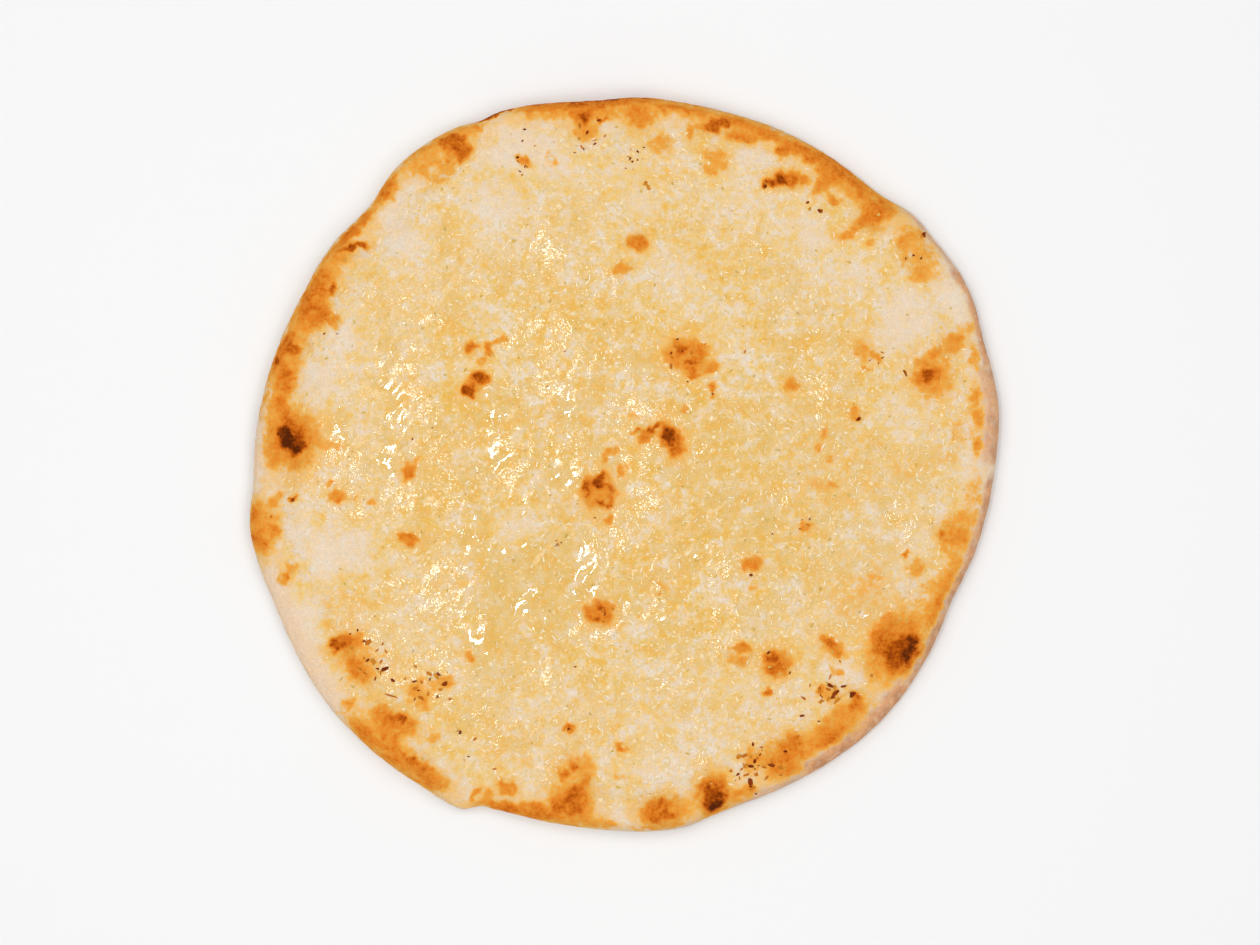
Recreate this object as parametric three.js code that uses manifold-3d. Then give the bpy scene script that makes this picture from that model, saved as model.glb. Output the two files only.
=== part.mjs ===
// Pizza bread: a round flatbread of pizza dough, stretched by hand, brushed with garlic oil and baked on a
// stone, with a low uneven rim, browned blisters and a scatter of charred herb flecks.
// Millimetres, +Z up. The bread lies on its flat underside, and the origin is under the middle of its outline.

import * as THREE from "three";
import { mergeVertices } from "three/addons/utils/BufferGeometryUtils.js";
import Module from "manifold-3d";

// ---- Driving dimensions ----
const CRUMB_HEIGHT = 7; // top of the flat middle
const RIM_RUN = 24; // from the outline in to where the rim has run out into the middle
const SIDE_HEIGHT = 3.8; // where the rim reaches furthest out
const TUCK = 5; // how far the rim curls in under itself
const RING_STEP = 4.5; // spacing of the rings of points on the top

// Round the rim, as [degrees from +X, value]. The value eases from one station to the next.
// How far the outline lies from the middle, with a station where it bends.
const OUTLINE = [
  [0, 148.5], [9, 151.5], [19, 152], [27, 154.5], [36, 153], [41, 152.5],
  [47, 148.5], [57, 148], [66, 147.5], [78, 146.5], [88, 147], [95, 146],
  [109, 149.8], [113, 149.3], [117, 151], [127, 150.3], [135, 145.5], [144, 146.7],
  [152, 146], [165, 147.2], [176, 148.5], [183, 149.2], [190, 152.5], [203, 151.3],
  [220, 153.3], [238, 152.7], [244.5, 153], [247.5, 148.4], [262, 146.6], [273, 147.5],
  [280, 147.2], [283, 145.5], [290, 144], [314, 145.4], [327, 143.8], [337, 142], [345, 144.4],
];
// How far the crest lies inside the outline: the slope from crest to side is steep or gentle.
const CREST_IN = [
  [8, 8], [30, 7], [50, 8], [70, 5], [105, 4.5], [130, 6], [150, 6], [178, 9],
  [195, 9], [208, 13], [222, 9], [240, 7], [270, 6], [290, 6], [312, 12], [335, 9],
];
// Top of the rim.
const CREST_HEIGHT = [
  [5, 11.4], [28, 10.6], [48, 11.6], [66, 11], [90, 12.2], [112, 10], [128, 11.4], [152, 12],
  [176, 12.4], [196, 10.4], [216, 10], [234, 11.6], [246, 7.6], [260, 10.6], [278, 11.6],
  [300, 11], [318, 10.4], [330, 12], [345, 10.4],
];

// The dough's slow rise and fall: wavelength, heading in degrees, height and phase of each wave.
const SWELLS = [
  [96, 20, 0.5, 0.3], [71, 104, 0.45, 1.9], [52, 158, 0.35, 4.1],
  [41, 63, 0.28, 2.6], [31, 128, 0.2, 0.8], [26, 8, 0.16, 5.2],
];

// Blisters, where the dough puffed up: x, y, radius along and across, turn in degrees, lift.
const BLISTERS = [
  // on the rim, from the left one clockwise
  [-132, 9, 12, 13, 0, 3], [-130, 46.5, 6, 6, 0, 1.6], [-122, 65, 12, 9, 60, 1.6], [-110, 85, 9, 4.5, 5, 1.8],
  [-76, 117, 7, 6, 0, 1.1], [-68, 126, 9, 6.5, -35, 1.7], [36, 134, 10, 4, 0, 1.2], [64, 113, 9, 5.5, 5, 1.7],
  [100, 99, 9, 8, 0, 1.5], [115, 86, 9, 11, 0, 1.5], [131, 47, 8, 6, 0, 1.4], [129, -27, 8, 4.5, 0, 1.3],
  [110, -72, 14, 11, 50, 3], [94, -94, 6, 5, 0, 1.2], [86, -105, 9, 7, 40, 1.6], [62, -116, 12, 9, 20, 1.6],
  [35, -132, 10, 9, 0, 2.6], [14, -138, 11, 8, 10, 2.2], [-17, -133, 11, 10, 0, 1.9], [-23, -122, 7, 6, 0, 1.1],
  [-47, -129, 7, 6, 0, 1.2], [-75, -126, 7, 5, -30, 1.2], [-82, -119, 7, 5, -30, 1.6], [-89, -101, 9, 7, -20, 1.7],
  [-115, -73.5, 7, 6, 0, 1.6], [-136, -46, 4, 4, 0, 1],
  // in the middle
  [-10, -11, 8.5, 8.5, 0, 2.6], [17.5, 10, 5, 8, 20, 2.2], [9, 13, 5, 4, 0, 1.3], [24, 43, 11, 9, -20, 1.9],
  [31, 37, 8, 5, -20, 1.1], [-10, -59.5, 8.5, 7, 0, 1.9], [60, -79.5, 7.5, 7.5, 0, 2.1], [46, -76, 6.5, 6, 0, 1.4],
  [51, -41, 5.5, 6, 0, 1.2], [66.5, 31.5, 5, 5, 0, 1.2], [5, 88, 5.5, 5, 0, 1.4], [-1, 78, 5, 4, 20, 1.1],
  [-57, 33.5, 4.8, 4.5, 0, 1.4], [-62, 28.5, 4.5, 5, 0, 1.4], [-62, 46, 4, 5, 0, 1.2], [120, 36, 9, 8, 30, 2.4],
  [96, 43, 7, 6, 0, 1.2], [92, 20, 5, 5, 0, 1.1], [-87, -30.5, 6, 4, 0, 1], [82, -71, 5, 4, 0, 1],
];

// Drifts of charred herb flecks: x, y, spread, how many, length of the longest.
const FLECK_DRIFTS = [
  [82, -91, 5.5, 7, 3.6], [50, -121, 9, 10, 3], [-101, -77, 9, 9, 2.8], [-80, -88, 8, 8, 3],
  [-16, 131, 6, 4, 2.6], [3, 123, 5, 4, 1.8], [-41, 119, 4, 3, 1.8], [21, 43, 7, 5, 2.4],
  [-8, -60, 4, 3, 2.6], [101, 42, 5, 3, 2.4], [112.3, 36.5, 0, 1, 3.2], [76, 102.5, 4, 2, 2.4],
  [55.5, 111.5, 1.5, 2, 2.4], [118, 90.5, 0, 1, 3.2], [-27, -31, 1.5, 2, 1.8], [-66, -107, 1, 1, 1.9],
  [60, -119, 4, 2, 2.8], [94, 18, 0, 1, 2], [72, -24, 3, 2, 1.9], [8.5, 111.5, 2, 2, 2.4],
];
const FLECK_WIDTH = 0.45; // of its length
const FLECK_THICKNESS = 1.1; // half of it stands out of the crust

const wasm = await Module();
wasm.setup();

const { cos, sin, PI, hypot, sqrt, min, max, round } = Math;
const radians = THREE.MathUtils.degToRad;

// The value at an angle, on a smooth curve through stations that go once round.
function around(stations, angle) {
  const n = stations.length;
  const turned = ((angle * 180) / PI + 720 - stations[0][0]) % 360 + stations[0][0];
  let i = n - 1;
  while (stations[i][0] > turned) i--;
  const at = (k) => {
    const lap = Math.floor(k / n);
    const [degrees, value] = stations[k - lap * n];
    return [degrees + 360 * lap, value];
  };
  const [[a0, v0], [a1, v1], [a2, v2], [a3, v3]] = [at(i - 1), at(i), at(i + 1), at(i + 2)];
  const span = a2 - a1;
  const t = (turned - a1) / span;
  const slopeIn = ((v2 - v0) / (a2 - a0)) * span;
  const slopeOut = ((v3 - v1) / (a3 - a1)) * span;
  return (
    (2 * t ** 3 - 3 * t ** 2 + 1) * v1 + (t ** 3 - 2 * t ** 2 + t) * slopeIn +
    (3 * t ** 2 - 2 * t ** 3) * v2 + (t ** 3 - t ** 2) * slopeOut
  );
}

// Height of the dough's slow waves.
function swell(x, y) {
  return SWELLS.reduce((sum, [length, heading, height, phase]) => {
    const along = x * cos(radians(heading)) + y * sin(radians(heading));
    return sum + height * sin((2 * PI * along) / length + phase);
  }, 0);
}

// Height that the blisters add: each is a full dome with a smooth foot.
function blistered(x, y) {
  return BLISTERS.reduce((sum, [bx, by, long, wide, turn, lift]) => {
    const c = cos(radians(turn));
    const s = sin(radians(turn));
    const u = ((x - bx) * c + (y - by) * s) / long;
    const v = ((y - by) * c - (x - bx) * s) / wide;
    const q = min(1, u * u + v * v);
    return sum + lift * (1 - q) ** 2 * (1 + 0.8 * q);
  }, 0);
}

// Top of the bread: the flat middle, rising to the rim's crest and rounding off outside it.
function topHeight(x, y) {
  const angle = Math.atan2(y, x);
  const crestIn = around(CREST_IN, angle);
  const inside = max(0, around(OUTLINE, angle) - hypot(x, y));
  const run = min(1, max(0, (inside - crestIn) / (RIM_RUN - crestIn)));
  const rim = (1 + cos(PI * run)) / 2;
  const crest = around(CREST_HEIGHT, angle);
  const top = CRUMB_HEIGHT + (crest - CRUMB_HEIGHT) * rim + swell(x, y) * (1 - 0.6 * rim) + blistered(x, y);
  const shoulder = sqrt(1 - (1 - min(1, inside / crestIn)) ** 2);
  return SIDE_HEIGHT + (top - SIDE_HEIGHT) * shoulder;
}

// A point of the rim's rounded edge: turn is 90 at the crest, 0 at the side and -90 at the underside.
function edgePoint(angle, turn) {
  const curl = turn > 0 ? around(CREST_IN, angle) : TUCK;
  const r = around(OUTLINE, angle) - curl * (1 - cos(radians(turn)));
  const [x, y] = [r * cos(angle), r * sin(angle)];
  return [x, y, turn > 0 ? topHeight(x, y) : SIDE_HEIGHT * (1 + sin(radians(turn)))];
}

// Rings of points from the middle of the top, over the rim and in to the middle of the underside.
function breadRings() {
  const inner = round(140 / RING_STEP);
  const full = 6 * inner;
  const ring = (count, place) => Array.from({ length: count }, (_, i) => place((2 * PI * i) / count));
  const onTop = (share) => (angle) => {
    const r = share * (around(OUTLINE, angle) - around(CREST_IN, angle));
    const [x, y] = [r * cos(angle), r * sin(angle)];
    return [x, y, topHeight(x, y)];
  };
  const onBase = (share) => (angle) => {
    const r = share * (around(OUTLINE, angle) - TUCK);
    return [r * cos(angle), r * sin(angle), 0];
  };
  const rings = [[[0, 0, topHeight(0, 0)]]];
  for (let k = 1; k <= inner; k++) rings.push(ring(6 * k, onTop(k / inner)));
  for (const turn of [64, 42, 20, 0, -32, -90]) rings.push(ring(full, (angle) => edgePoint(angle, turn)));
  for (const [count, share] of [[96, 0.85], [48, 0.65], [24, 0.4], [6, 0.2]]) rings.push(ring(count, onBase(share)));
  rings.push([[0, 0, 0]]);
  return rings;
}

// Triangles between each ring and the next, whatever their counts: each step goes on along the ring that is behind.
function zipRings(rings) {
  const positions = rings.flat(2);
  const faces = [];
  let start = 0;
  for (let k = 0; k + 1 < rings.length; k++) {
    const [na, nb] = [rings[k].length, rings[k + 1].length];
    const a = (i) => start + (i % na);
    const b = (j) => start + na + (j % nb);
    let [i, j] = [0, 0];
    while (i < (na > 1 ? na : 0) || j < (nb > 1 ? nb : 0)) {
      const stepA = na > 1 && i < na && (nb === 1 || j >= nb || (i + 1) / na < (j + 1) / nb);
      if (stepA) {
        faces.push(a(i), b(j), a(i + 1));
        i++;
      } else {
        faces.push(a(i), b(j), b(j + 1));
        j++;
      }
    }
    start += na;
  }
  return { positions, faces };
}

function solid(positions, faces) {
  return new wasm.Manifold(
    new wasm.Mesh({ numProp: 3, vertProperties: new Float32Array(positions), triVerts: new Uint32Array(faces) }),
  );
}

// A fixed number from 0 to 1 for each seed, so that the scatter is the same each time.
function scatter(seed) {
  const n = sin(seed * 12.9898 + 4.1414) * 43758.5453;
  return n - Math.floor(n);
}

// One charred fleck: a thin faceted flake, half sunk in the crust.
function fleck(x, y, length, heading) {
  const flake = new THREE.IcosahedronGeometry(0.5, 0);
  flake.scale(length, length * FLECK_WIDTH, FLECK_THICKNESS);
  flake.rotateZ(heading);
  flake.translate(x, y, topHeight(x, y));
  flake.deleteAttribute("normal");
  flake.deleteAttribute("uv");
  const merged = mergeVertices(flake);
  return solid(merged.attributes.position.array, merged.index.array);
}

// All flecks: each drift is a spiral of the golden angle, shaken a little.
function flecks() {
  const goldenAngle = PI * (3 - sqrt(5));
  return FLECK_DRIFTS.flatMap(([x, y, spread, count, longest], drift) =>
    Array.from({ length: count }, (_, i) => {
      const seed = 100 * drift + i;
      const out = spread * sqrt((i + 0.5) / count) * (0.7 + 0.5 * scatter(seed));
      const turn = i * goldenAngle + 2 * PI * scatter(drift + 0.5);
      const length = longest * (1 - 0.45 * scatter(seed + 0.25));
      return fleck(x + out * cos(turn), y + out * sin(turn), length, 2 * PI * scatter(seed + 0.75));
    }),
  );
}

function breadGeometry() {
  const { positions, faces } = zipRings(breadRings());
  const joined = wasm.Manifold.union([solid(positions, faces), ...flecks()]).getMesh();
  const geometry = new THREE.BufferGeometry();
  geometry.setAttribute("position", new THREE.BufferAttribute(joined.vertProperties, joined.numProp));
  geometry.setIndex(new THREE.BufferAttribute(joined.triVerts, 1));
  geometry.computeBoundingBox();
  const middle = geometry.boundingBox.getCenter(new THREE.Vector3());
  geometry.translate(-middle.x, -middle.y, 0);
  geometry.computeVertexNormals();
  return geometry;
}

const bakedDough = new THREE.MeshStandardMaterial({ color: 0xeccb92, roughness: 0.55, metalness: 0 });
const bread = new THREE.Mesh(breadGeometry(), bakedDough);
bread.name = "bread";

const pizzaBread = new THREE.Group();
pizzaBread.add(bread);

export default pizzaBread;
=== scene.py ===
"""Pizza bread, dressed: browned dough, a film of garlic oil, minced garlic and herb flecks.

The shape repeats the part's own values. Lengths in the tables are millimetres, and the meshes are metres.
"""

import math

import bpy
import numpy as np
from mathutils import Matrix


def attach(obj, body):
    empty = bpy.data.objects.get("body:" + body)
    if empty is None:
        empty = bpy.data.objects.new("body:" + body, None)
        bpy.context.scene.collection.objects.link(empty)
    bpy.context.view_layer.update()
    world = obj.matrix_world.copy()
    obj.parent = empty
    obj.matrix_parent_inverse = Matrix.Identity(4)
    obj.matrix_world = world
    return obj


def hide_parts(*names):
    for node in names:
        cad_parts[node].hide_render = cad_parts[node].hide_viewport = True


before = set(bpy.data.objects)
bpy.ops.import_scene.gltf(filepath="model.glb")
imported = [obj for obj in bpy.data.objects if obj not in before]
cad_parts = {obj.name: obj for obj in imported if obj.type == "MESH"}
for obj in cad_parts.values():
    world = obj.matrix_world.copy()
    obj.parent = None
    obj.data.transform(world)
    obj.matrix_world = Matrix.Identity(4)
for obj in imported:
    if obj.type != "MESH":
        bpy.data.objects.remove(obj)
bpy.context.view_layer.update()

MM = 0.001

# ---- The bread's form, with the part's own values ----
CRUMB_HEIGHT = 7
RIM_RUN = 24
SIDE_HEIGHT = 3.8
TUCK = 5
OUTLINE_POINTS = 1116

# Round the rim, as (degrees from +X, value).
OUTLINE = (
    (0, 148.5), (9, 151.5), (19, 152), (27, 154.5), (36, 153), (41, 152.5), (47, 148.5), (57, 148),
    (66, 147.5), (78, 146.5), (88, 147), (95, 146), (109, 149.8), (113, 149.3), (117, 151), (127, 150.3),
    (135, 145.5), (144, 146.7), (152, 146), (165, 147.2), (176, 148.5), (183, 149.2), (190, 152.5),
    (203, 151.3), (220, 153.3), (238, 152.7), (244.5, 153), (247.5, 148.4), (262, 146.6), (273, 147.5),
    (280, 147.2), (283, 145.5), (290, 144), (314, 145.4), (327, 143.8), (337, 142), (345, 144.4),
)
CREST_IN = (
    (8, 8), (30, 7), (50, 8), (70, 5), (105, 4.5), (130, 6), (150, 6), (178, 9), (195, 9), (208, 13),
    (222, 9), (240, 7), (270, 6), (290, 6), (312, 12), (335, 9),
)
CREST_HEIGHT = (
    (5, 11.4), (28, 10.6), (48, 11.6), (66, 11), (90, 12.2), (112, 10), (128, 11.4), (152, 12), (176, 12.4),
    (196, 10.4), (216, 10), (234, 11.6), (246, 7.6), (260, 10.6), (278, 11.6), (300, 11), (318, 10.4),
    (330, 12), (345, 10.4),
)

# Wavelength, heading in degrees, height and phase of each slow wave.
SWELLS = (
    (96, 20, 0.5, 0.3), (71, 104, 0.45, 1.9), (52, 158, 0.35, 4.1),
    (41, 63, 0.28, 2.6), (31, 128, 0.2, 0.8), (26, 8, 0.16, 5.2),
)

# x, y, radius along and across, lift, and the turn in degrees if there is one.
BLISTERS = (
    (-132, 9, 12, 13, 3), (-130, 46.5, 6, 6, 1.6), (-122, 65, 12, 9, 1.6, 60), (-110, 85, 9, 4.5, 1.8, 5),
    (-76, 117, 7, 6, 1.1), (-68, 126, 9, 6.5, 1.7, -35), (36, 134, 10, 4, 1.2), (64, 113, 9, 5.5, 1.7, 5),
    (100, 99, 9, 8, 1.5), (115, 86, 9, 11, 1.5), (131, 47, 8, 6, 1.4), (129, -27, 8, 4.5, 1.3),
    (110, -72, 14, 11, 3, 50), (94, -94, 6, 5, 1.2), (86, -105, 9, 7, 1.6, 40), (62, -116, 12, 9, 1.6, 20),
    (35, -132, 10, 9, 2.6), (14, -138, 11, 8, 2.2, 10), (-17, -133, 11, 10, 1.9), (-23, -122, 7, 6, 1.1),
    (-47, -129, 7, 6, 1.2), (-75, -126, 7, 5, 1.2, -30), (-82, -119, 7, 5, 1.6, -30),
    (-89, -101, 9, 7, 1.7, -20), (-115, -73.5, 7, 6, 1.6), (-136, -46, 4, 4, 1), (-10, -11, 8.5, 8.5, 2.6),
    (17.5, 10, 5, 8, 2.2, 20), (9, 13, 5, 4, 1.3), (24, 43, 11, 9, 1.9, -20), (31, 37, 8, 5, 1.1, -20),
    (-10, -59.5, 8.5, 7, 1.9), (60, -79.5, 7.5, 7.5, 2.1), (46, -76, 6.5, 6, 1.4), (51, -41, 5.5, 6, 1.2),
    (66.5, 31.5, 5, 5, 1.2), (5, 88, 5.5, 5, 1.4), (-1, 78, 5, 4, 1.1, 20), (-57, 33.5, 4.8, 4.5, 1.4),
    (-62, 28.5, 4.5, 5, 1.4), (-62, 46, 4, 5, 1.2), (120, 36, 9, 8, 2.4, 30), (96, 43, 7, 6, 1.2),
    (92, 20, 5, 5, 1.1), (-87, -30.5, 6, 4, 1), (82, -71, 5, 4, 1),
)

# ---- What the oven did ----
# Browned patches along the rim: angle and distance in from the outline of the middle, half their angle and
# depth where the colour has faded by half, and how dark they are: 0.3 is golden, 0.55 orange, 0.8 brown and
# 1 charred. A slanting one has a last number, how much further in it lies for each degree on.
RIM_BROWNING = (
    (54, 4, 9, 5, 0.42), (76, 2, 14, 4.5, 0.42), (96, 3, 9, 5, 0.4), (121, 5, 6, 6, 0.34),
    (152, 5, 11, 6, 0.42), (167, 6, 8, 6, 0.42), (176, 14, 5, 11, 0.45), (190, 5, 4, 6, 0.38),
    (216, 20, 4, 6, 0.34), (230, 5, 9, 6, 0.3), (261, 8, 4, 9, 0.42), (277, 7, 4, 6, 0.36),
    (299.5, 10, 5, 8, 0.38), (310, 9, 6, 7, 0.36), (326, 13, 6, 11, 0.42), (338, 6, 7, 4, 0.36),
    (348, 11, 3, 6, 0.34), (350, 7, 8, 4, 0.28), (16, 24, 4, 8, 0.36), (8, 9, 6, 4, 0.2),
    (36, 9, 5, 7, 0.22), (3, 8.5, 1.2, 2, 0.42), (7.2, 9, 1.4, 2.2, 0.5), (10.7, 9.6, 1.6, 1.8, 0.46),
    (5.5, 16, 1.8, 4, 0.2), (1.5, 22, 2, 5, 0.18), (6.6, 27.5, 0.8, 2, 0.2), (16.5, 6, 1.8, 2.2, 0.36),
    (20.2, 12.5, 1.5, 4, 0.42), (21.6, 5, 0.8, 3.5, 0.25), (16.4, 26, 1.7, 5.8, 0.72),
    (16.5, 25.5, 1.2, 2, 0.86), (19.5, 21, 1, 3, 0.5), (34, 6, 2, 1.8, 0.28), (36.5, 9, 2.6, 5.5, 0.3),
    (33, 15, 1.8, 2.2, 0.24), (37.6, 4.5, 1.2, 1.2, 0.4), (45, 7, 2.2, 5.5, 0.54), (45.7, 15, 1, 3.5, 0.5),
    (45.8, 22, 1, 2.6, 0.48, 0.8), (42, 20, 0.8, 1.5, 0.33), (50, 3.5, 3, 3, 0.56), (55, 4.5, 3, 4.5, 0.56),
    (58.5, 3, 2.5, 3.5, 0.57), (54.8, 12, 1.2, 4, 0.55), (52, 13, 1.4, 1.4, 0.5), (56, 0.4, 7, 0.8, 0.62),
    (58.6, 14, 1.5, 2, 0.6), (60.4, 17, 2.4, 3.2, 0.62, 0.8), (61.2, 18.2, 1.4, 1.8, 0.84),
    (62.6, 21.5, 1.2, 1.8, 0.82), (63, 8, 1.1, 2, 0.7), (62, 4, 2.4, 2.8, 0.62), (67.5, 3.8, 3.5, 2.8, 0.6),
    (72.5, 2.6, 2, 2.2, 0.5), (74.7, 6.6, 2, 2.4, 0.82, 0.7), (73.6, 18.2, 2.2, 2.4, 0.34),
    (72.6, 21, 1.6, 2.4, 0.36), (74, 24, 1.4, 1.6, 0.34), (79, 11, 0.8, 3, 0.36),
    (77.5, 8.4, 1.2, 1, 0.4, 0.8), (83, 2, 6, 2.2, 0.6), (87.5, 7.5, 2.4, 4.5, 0.58),
    (70, 8, 2.6, 3, 0.5, 0.4), (83.5, 18, 2, 4, 0.3), (93, 2, 5, 2.6, 0.6), (97.2, 5, 2, 5, 0.62),
    (96.8, 7.2, 0.9, 1.6, 0.8), (96.5, 12, 1.8, 4.5, 0.36), (94, 8, 0.8, 1, 0.75), (102, 2, 4.5, 2.6, 0.57),
    (103.6, 23, 0.9, 3.4, 0.26, 0.6), (108.6, 22, 0.9, 2, 0.5), (114.5, 3, 1.8, 1.6, 0.42),
    # The first two here, at and just outside the outline, draw a thin dark line along the very edge from
    # about 74 to 113 degrees.
    (110, -0.3, 3.4, 1.2, 1.1), (90, -0.2, 16, 0.9, 0.84), (118, 5.5, 2, 3.8, 0.8),
    (117.4, 11, 1.4, 2.6, 0.74), (120, 11, 0.9, 2.6, 0.5), (124.6, 7.5, 0.8, 5, 0.44),
    (122, 14, 2.4, 2.6, 0.3), (122.6, 1.8, 3, 1.6, 0.42), (131, 2.6, 2.8, 2.6, 0.56),
    (130.6, 6.4, 0.8, 1.6, 0.42), (139.5, 2.8, 4.2, 2.2, 0.6), (141.4, 8, 1.7, 1.7, 0.88, -1.8),
    (145.4, 5.6, 2, 2.6, 0.36), (151.5, 5, 5, 4.4, 0.6), (149.2, 10.6, 1.1, 1.6, 0.74),
    (154.2, 10, 2.6, 3.4, 0.6), (154, 16, 0.9, 2.6, 0.5), (161, 3, 3, 2.6, 0.68),
    (160.7, 8.4, 0.9, 2.8, 0.76), (163.6, 1.6, 1.2, 1.6, 0.85), (166, 7, 3.4, 2.8, 0.62, 0.5),
    (171, 9.6, 3, 2.8, 0.6, 0.5), (175.4, 15.6, 4.2, 8.6, 0.5), (175.6, 15, 3, 5.6, 0.74, 0.6),
    (175.3, 13.4, 1.9, 3.4, 1.08, 0.9), (176.8, 17.6, 1.7, 3, 0.98), (176.6, 30, 0.9, 6, 0.34),
    (180, 9, 1.2, 3.4, 0.46), (187.6, 3.4, 1.9, 2.6, 0.6), (191.8, 4, 1.9, 3.4, 0.6),
    (186, 10, 1.2, 2.6, 0.46), (190.6, 9.6, 0.7, 2.4, 0.55), (186, 17, 0.5, 1.2, 0.85),
    (198.5, 8, 0.95, 2, 0.66), (197.2, 13, 1, 2.6, 0.3), (212.3, 18.5, 1.1, 5.6, 0.7),
    (212.3, 15.4, 0.9, 1.4, 0.84), (213.4, 24, 1.4, 3, 0.5), (217.5, 18.5, 2.4, 3, 0.56),
    (221, 5.5, 0.9, 4, 0.5), (226, 4, 3, 2.4, 0.58), (232, 0.6, 8, 1.6, 0.45), (168, 1, 5, 1.6, 0.5),
    (232, 5, 4, 3.4, 0.56), (238, 5.4, 3, 3.6, 0.56), (235.2, 7.4, 2, 1.6, 0.74), (229, 9.6, 1.6, 2.8, 0.54),
    (228.2, 15, 3.6, 4.2, 0.58, 0.5), (228.6, 17.6, 1, 1.5, 0.84), (235, 19, 0.8, 2.6, 0.34),
    (228, 29, 2.2, 3.2, 0.42), (230.4, 27, 0.8, 2, 0.4), (245.6, 6.4, 0.6, 2.8, 0.52, -1),
    (250, 10, 1.5, 2.6, 0.6), (247.6, 4, 1, 3.6, 0.44), (252, 2, 5, 2.2, 0.6), (256, 4, 3, 3, 0.6),
    (260.6, 8.6, 2.6, 4.6, 0.68, 0.6), (261.6, 13, 2, 4, 0.7, 0.5), (263, 19, 1, 3.6, 0.5),
    (258.8, 20.6, 0.9, 2.4, 0.68), (261, 23, 3.4, 6, 0.32), (260.4, 23.4, 0.8, 1.8, 0.6),
    (266, 3.4, 3, 2.4, 0.34), (269, 33.4, 1, 1.8, 0.48), (257.6, 37.4, 0.7, 1, 0.72),
    (275.6, 8, 2.8, 4.4, 0.68), (276.6, 8, 1.2, 1.6, 0.78), (276.6, 12, 1.4, 1, 0.66),
    (275.6, 1.6, 4, 1.2, 0.42), (284.8, 8.4, 2.7, 6.8, 0.68), (284.9, 7.4, 1.9, 4.6, 0.96),
    (285.3, 4.6, 1, 1.6, 1.04), (289.6, 4, 2, 3, 0.5), (298.6, 9, 3.4, 5, 0.52), (301.4, 15, 1.3, 3, 0.62),
    (295, 14, 1.6, 3, 0.42), (307.3, 8.4, 2.4, 3, 0.56), (310.6, 25, 0.8, 2, 0.6),
    (313.6, 12, 1.6, 2.4, 0.58, -0.8), (314.7, 14.6, 0.6, 2, 0.7), (318.6, 33, 1.5, 4.4, 0.52),
    (319, 36.6, 0.7, 1.6, 0.7), (319.4, 12, 0.8, 4, 0.3), (326, 12, 4.1, 9.4, 0.46),
    (325.2, 15.6, 1.2, 2, 0.76), (336, 5, 4.4, 2.2, 0.52), (341, 5, 2, 2, 0.46), (338, 12, 1.2, 1.6, 0.3),
    (340.4, 19, 1.8, 3, 0.32), (342.4, 25.6, 0.6, 1.1, 0.82), (347.6, 9.4, 1.6, 4, 0.55),
    (347.5, 15.6, 0.9, 1.7, 0.68), (335.6, 32, 2.2, 2.4, 0.24),
)
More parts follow.
